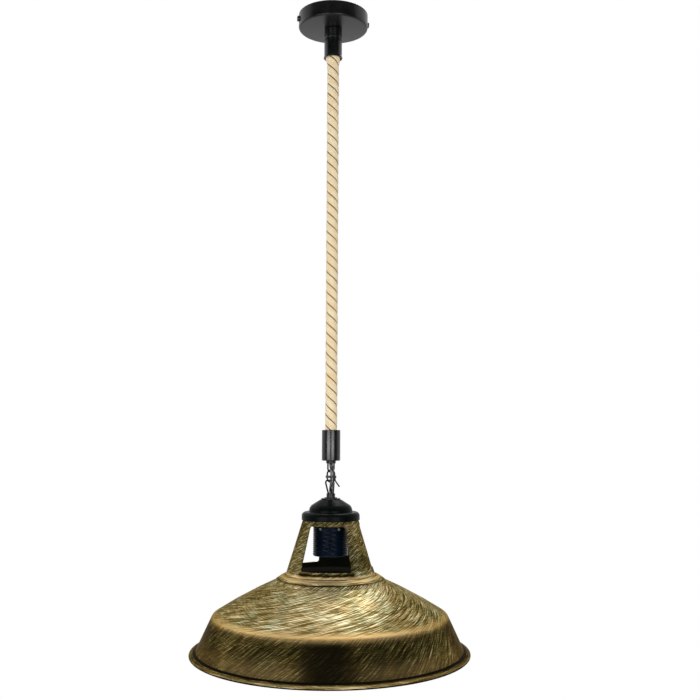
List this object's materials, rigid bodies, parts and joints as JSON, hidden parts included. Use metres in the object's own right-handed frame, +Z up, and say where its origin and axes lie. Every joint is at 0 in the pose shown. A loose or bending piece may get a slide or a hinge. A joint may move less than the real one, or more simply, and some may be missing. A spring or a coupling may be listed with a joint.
{
  "type": "pendant light",
  "caption": "Pendant light: a ceiling rose and a hemp rope between ferrules carry a black cap, a screw lampholder and a spun metal shade with windows in its neck.",
  "frame": {"origin": "the middle of the ceiling face, on the axis of the rose", "axes": "+Z up into the ceiling, X along the bracket strap, the room side is about -Y"},
  "size_m": [0.3112, 0.3112, 0.7362],
  "materials": {
    "black_steel": "satin black powder coat",
    "plated_steel": "zinc plated",
    "terminal_plastic": "moulded",
    "bright_brass": "pressed, bright",
    "black_flex": "extruded sheath",
    "core_plastic": "extruded core insulation",
    "earth_plastic": "extruded core insulation",
    "hemp": "three-strand laid rope, natural",
    "tie_plastic": "moulded nylon",
    "holder_plastic": "moulded phenolic",
    "porcelain": "unglazed steatite",
    "aged_brass": "hand brushed, antiqued"
  },
  "bodies": {
    "root": {"ceiling_bracket": "plated_steel", "rose_cup": "black_steel", "rose_side_screws": "black_steel", "earth_washer": "plated_steel", "earth_screw": "plated_steel", "terminal_block": "terminal_plastic", "terminal_barrels": "bright_brass", "clamp_screws": "plated_steel", "stem_tube": "plated_steel", "rose_nut": "plated_steel", "stem_coupling": "black_steel", "upper_ferrule": "black_steel", "upper_nut": "plated_steel", "upper_grub_screw": "plated_steel", "rose_flex": "black_flex", "rose_cores": "core_plastic", "earth_core": "earth_plastic"},
    "rope_drop": {"hemp_rope": "hemp", "rope_flex": "black_flex", "lower_ferrule": "black_steel", "lower_grub_screw": "plated_steel", "lower_nut": "plated_steel", "lower_loop": "black_steel"},
    "link": {"chain_link": "black_steel", "flex_drop": "black_flex", "cable_tie": "tie_plastic"},
    "shade_group": {"cap_loop": "black_steel", "small_washer": "black_steel", "large_washer": "black_steel", "cap": "black_steel", "cap_nut": "plated_steel", "holder_dome": "holder_plastic", "earth_tag": "bright_brass", "dome_nut": "plated_steel", "holder_skirt": "holder_plastic", "holder_pins": "plated_steel", "insulator": "porcelain", "terminals": "bright_brass", "terminal_screws": "plated_steel", "shell_plate": "bright_brass", "screw_shell": "bright_brass", "shell_rivets": "bright_brass", "centre_contact": "bright_brass", "holder_cores": "core_plastic", "shade_ring": "holder_plastic", "shade": "aged_brass"}
  },
  "joints": [
    {"name": "rope_swing", "type": "hinge", "parent": "root", "child": "rope_drop", "pos_m": [0, 0, -0.0527], "axis": [0, 1, 0], "range_deg": [-12, 12], "deforming": ["hemp_rope", "rope_flex"]},
    {"name": "link_swing", "type": "hinge", "parent": "rope_drop", "child": "link", "pos_m": [0, 0, -0.5369], "axis": [0.891, 0.454, 0], "range_deg": [-15, 15], "deforming": ["flex_drop"]},
    {"name": "shade_swing", "type": "hinge", "parent": "link", "child": "shade_group", "pos_m": [0, 0, -0.5483], "axis": [0.8746, -0.4848, 0], "range_deg": [-15, 15]}
  ]
}
